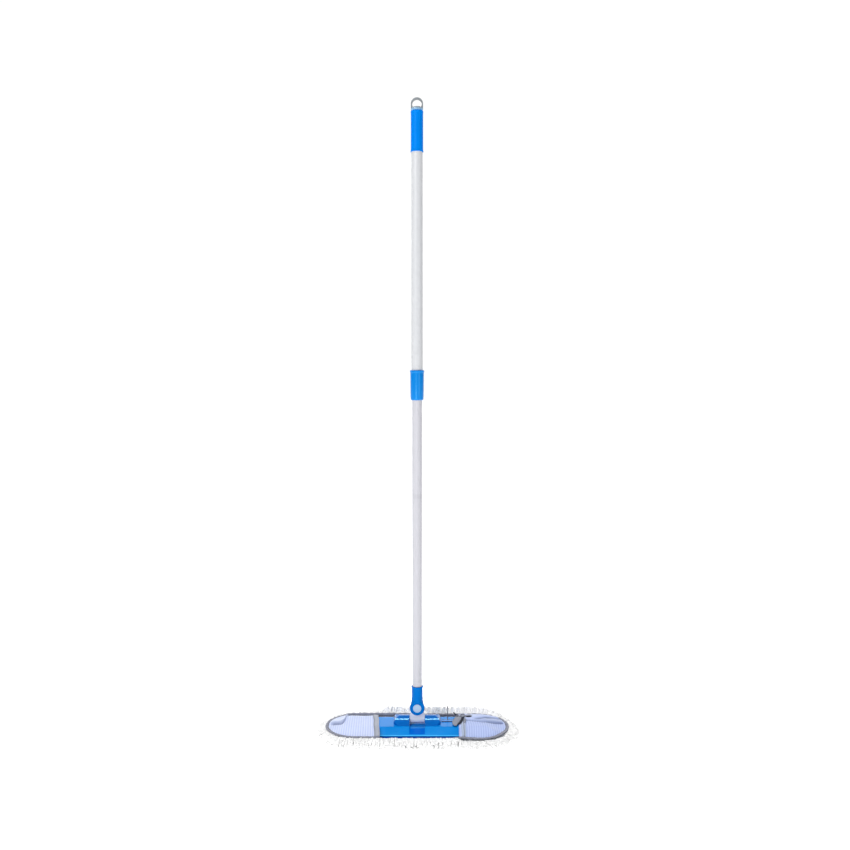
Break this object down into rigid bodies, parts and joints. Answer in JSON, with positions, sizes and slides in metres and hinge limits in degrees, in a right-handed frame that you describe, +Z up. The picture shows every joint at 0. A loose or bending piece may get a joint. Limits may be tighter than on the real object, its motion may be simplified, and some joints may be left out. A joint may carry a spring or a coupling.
{
  "type": "flat mop",
  "caption": "Dry flat mop: telescopic pole with twist lock and hanging loop, double-hinged head plate tucked into a fringed pocket pad.",
  "frame": {"origin": "on the floor under the pole's axis, at the middle of the pad's sole", "axes": "+Z up along the pole, +X along the pad towards the tied pocket, -Y towards the front"},
  "size_m": [0.407, 0.178, 1.2337],
  "materials": {
    "deck_blue": "smooth glossy moulding",
    "hub_blue": "smooth glossy moulding",
    "socket_blue": "smooth glossy moulding",
    "collar_blue": "smooth glossy moulding",
    "grip_blue": "satin sleeve",
    "grey_plastic": "smooth moulding",
    "pin_plastic": "smooth moulding",
    "loop_grey": "satin moulding",
    "white_plastic": "satin moulding",
    "dark_plastic": "satin moulding",
    "dark_nylon": "satin",
    "tube_paint": "white powder coat",
    "axle_steel": "bright drawn",
    "screw_steel": "zinc plated",
    "base_cloth": "woven",
    "binding_tape": "woven tape",
    "hem_tape": "woven tape",
    "tie_tape": "woven tape",
    "mesh_left": "ribbed mesh",
    "mesh_right": "ribbed mesh",
    "white_pile": "looped pile",
    "white_fringe": "fluffy chenille"
  },
  "bodies": {
    "head": {"deck": "deck_blue", "hub_left": "hub_blue", "hub_right": "hub_blue", "hub_screw_left": "screw_steel", "hub_screw_right": "screw_steel", "hinge_axle": "axle_steel", "pad_cloth": "base_cloth", "binding": "binding_tape", "sole_pile": "white_pile", "fringe": "white_fringe", "left_pocket": "mesh_left", "right_pocket": "mesh_right", "left_hem": "hem_tape", "right_hem": "hem_tape", "tie_tape": "tie_tape", "tag_base": "deck_blue", "tag_pin": "dark_nylon"},
    "swivel": {"swivel_block": "grey_plastic"},
    "lower_pole": {"socket": "socket_blue", "pivot_pin": "pin_plastic", "pivot_cap": "pin_plastic", "tube_insert": "white_plastic", "socket_screw": "screw_steel", "lower_tube": "tube_paint", "lower_plug": "dark_plastic", "lock_stud": "axle_steel", "stud_cap": "dark_plastic"},
    "expander": {"lock_sleeve": "white_plastic"},
    "cone": {"lock_cone": "dark_plastic"},
    "upper_pole": {"upper_tube": "tube_paint", "lock_collar": "collar_blue", "collar_bush": "white_plastic", "grip": "grip_blue", "top_plug": "grey_plastic"},
    "hanger": {"hang_loop": "loop_grey"}
  },
  "joints": [
    {"name": "tilt_fore_aft", "type": "hinge", "parent": "head", "child": "swivel", "pos_m": [0, 0, 0.031], "axis": [1, 0, 0], "range_deg": [-75, 75]},
    {"name": "tilt_side", "type": "hinge", "parent": "swivel", "child": "lower_pole", "pos_m": [0, 0, 0.055], "axis": [0, 1, 0], "range_deg": [-75, 75]},
    {"name": "twist_lock", "type": "hinge", "parent": "lower_pole", "child": "expander", "pos_m": [0, 0, 0.75], "axis": [0, 0, 1], "range_deg": [0, 180]},
    {"name": "cone_travel", "type": "slide", "parent": "expander", "child": "cone", "axis": [0, 0, 1], "range_m": [-0.0016, 0.0001]},
    {"name": "telescope", "type": "slide", "parent": "expander", "child": "upper_pole", "axis": [0, 0, 1], "range_m": [-0.38, 0]},
    {"name": "loop_swivel", "type": "hinge", "parent": "upper_pole", "child": "hanger", "pos_m": [0, 0, 1.2], "axis": [0, 0, 1], "continuous": true}
  ],
  "couplings": [
    {"joint": "cone_travel", "follows": "twist_lock", "m_per_rad": -0.00047746}
  ]
}
